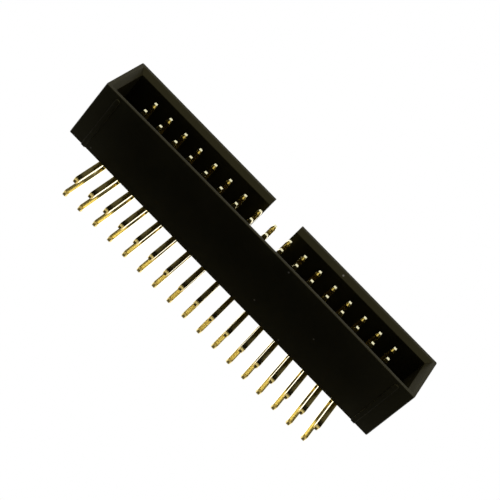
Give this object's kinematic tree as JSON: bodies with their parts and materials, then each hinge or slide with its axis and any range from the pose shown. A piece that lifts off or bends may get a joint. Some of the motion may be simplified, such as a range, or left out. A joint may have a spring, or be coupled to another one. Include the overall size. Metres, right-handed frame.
{
  "type": "right-angle box header",
  "caption": "Right-angle shrouded pin header for flat cable: a keyed moulded housing around square contacts that are bent down to solder into a board.",
  "frame": {"origin": "centre of the pattern of solder tails, on the plane of the board's top face", "axes": "+X along the rows towards contact 1, -Y out of the mouth, +Z away from the board"},
  "size_m": [0.0506, 0.0136, 0.012],
  "materials": {
    "housing_plastic": "fine moulded satin",
    "contact_plating": "bright gold-coloured plating on square wire"
  },
  "bodies": {
    "root": {"housing": "housing_plastic", "contact_01": "contact_plating", "contact_02": "contact_plating", "contact_03": "contact_plating", "contact_04": "contact_plating", "contact_05": "contact_plating", "contact_06": "contact_plating", "contact_07": "contact_plating", "contact_08": "contact_plating", "contact_09": "contact_plating", "contact_10": "contact_plating", "contact_11": "contact_plating", "contact_12": "contact_plating", "contact_13": "contact_plating", "contact_14": "contact_plating", "contact_15": "contact_plating", "contact_16": "contact_plating", "contact_17": "contact_plating", "contact_18": "contact_plating", "contact_19": "contact_plating", "contact_20": "contact_plating", "contact_21": "contact_plating", "contact_22": "contact_plating", "contact_23": "contact_plating", "contact_24": "contact_plating", "contact_25": "contact_plating", "contact_26": "contact_plating", "contact_27": "contact_plating", "contact_28": "contact_plating", "contact_29": "contact_plating", "contact_30": "contact_plating", "contact_31": "contact_plating", "contact_32": "contact_plating", "contact_33": "contact_plating", "contact_34": "contact_plating"}
  },
  "joints": []
}
